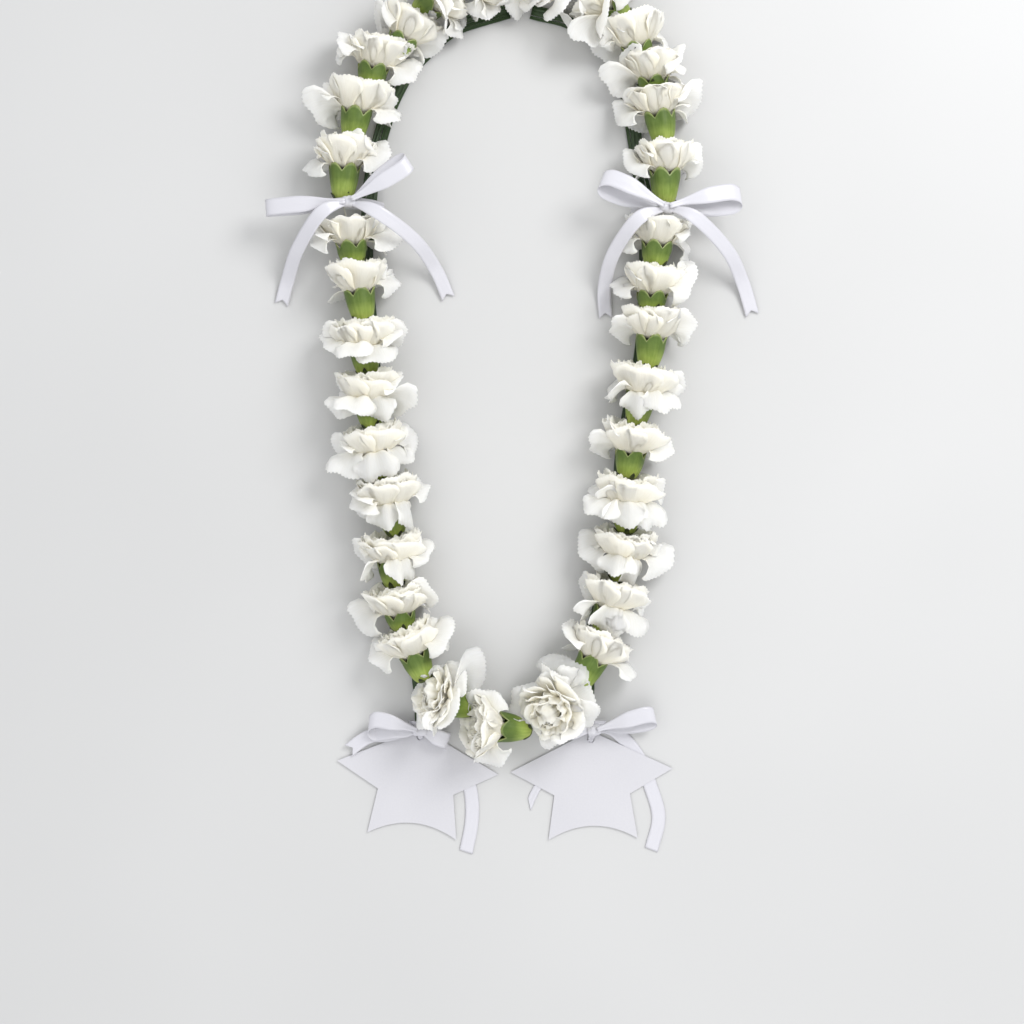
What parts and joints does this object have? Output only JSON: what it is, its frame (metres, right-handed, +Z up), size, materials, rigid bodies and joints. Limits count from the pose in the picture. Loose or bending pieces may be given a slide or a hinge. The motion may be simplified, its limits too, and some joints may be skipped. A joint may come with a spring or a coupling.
{
  "type": "fresh flower lei",
  "caption": "Closed loop of strung white carnation heads with grass blades along it, satin ribbon bows and two blank cap-shaped cards, laid flat.",
  "frame": {"origin": "middle of the whole in plan, on the surface that the lei lies on", "axes": "+Z up from the surface, +Y from the cards towards the back of the neck, +X to the right seen from above"},
  "size_m": [0.3202, 0.5938, 0.0496],
  "materials": {
    "petals": "matte",
    "calyx": "satin",
    "grass": "satin",
    "satin": "satin",
    "card": "matte"
  },
  "bodies": {
    "root": {"petals_01": "petals", "petals_02": "petals", "petals_03": "petals", "petals_04": "petals", "petals_05": "petals", "petals_06": "petals", "petals_07": "petals", "petals_08": "petals", "petals_09": "petals", "petals_10": "petals", "petals_11": "petals", "petals_12": "petals", "petals_13": "petals", "petals_14": "petals", "petals_15": "petals", "petals_16": "petals", "petals_17": "petals", "petals_18": "petals", "petals_19": "petals", "petals_20": "petals", "petals_21": "petals", "petals_22": "petals", "petals_23": "petals", "petals_24": "petals", "petals_25": "petals", "petals_26": "petals", "petals_27": "petals", "petals_28": "petals", "petals_29": "petals", "petals_30": "petals", "petals_31": "petals", "petals_32": "petals", "petals_33": "petals", "petals_34": "petals", "calyces_01": "calyx", "calyces_02": "calyx", "calyces_03": "calyx", "calyces_04": "calyx", "calyces_05": "calyx", "calyces_06": "calyx", "calyces_07": "calyx", "calyces_08": "calyx", "calyces_09": "calyx", "calyces_10": "calyx", "calyces_11": "calyx", "calyces_12": "calyx", "grass_left_1": "grass", "grass_left_2": "grass", "grass_left_3": "grass", "grass_left_4": "grass", "grass_right_1": "grass", "grass_right_2": "grass", "grass_right_3": "grass", "grass_right_4": "grass", "bow_upper_left": "satin", "bow_upper_right": "satin", "bow_lower_left": "satin", "bow_lower_right": "satin", "card_left": "card", "card_right": "card"}
  },
  "joints": []
}
